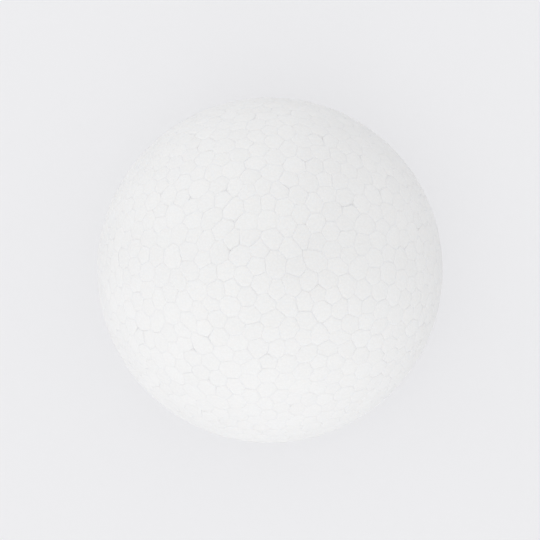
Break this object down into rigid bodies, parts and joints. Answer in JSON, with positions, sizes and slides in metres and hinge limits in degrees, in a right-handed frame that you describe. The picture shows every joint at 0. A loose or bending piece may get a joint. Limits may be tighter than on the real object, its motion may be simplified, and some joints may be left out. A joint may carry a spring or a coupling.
{
  "type": "polystyrene ball",
  "caption": "Solid white craft ball of moulded expanded polystyrene foam, with a fine mosaic of pressed bead faces and a low parting line round it.",
  "frame": {"origin": "centre of the ball", "axes": "+Z is the way the mould opens, square to the plane of the parting line; X and Y lie in that plane and are arbitrary"},
  "size_m": [0.0452, 0.0452, 0.045],
  "materials": {
    "foam": "matte white, as moulded"
  },
  "bodies": {
    "root": {"foam_ball": "foam"}
  },
  "joints": []
}
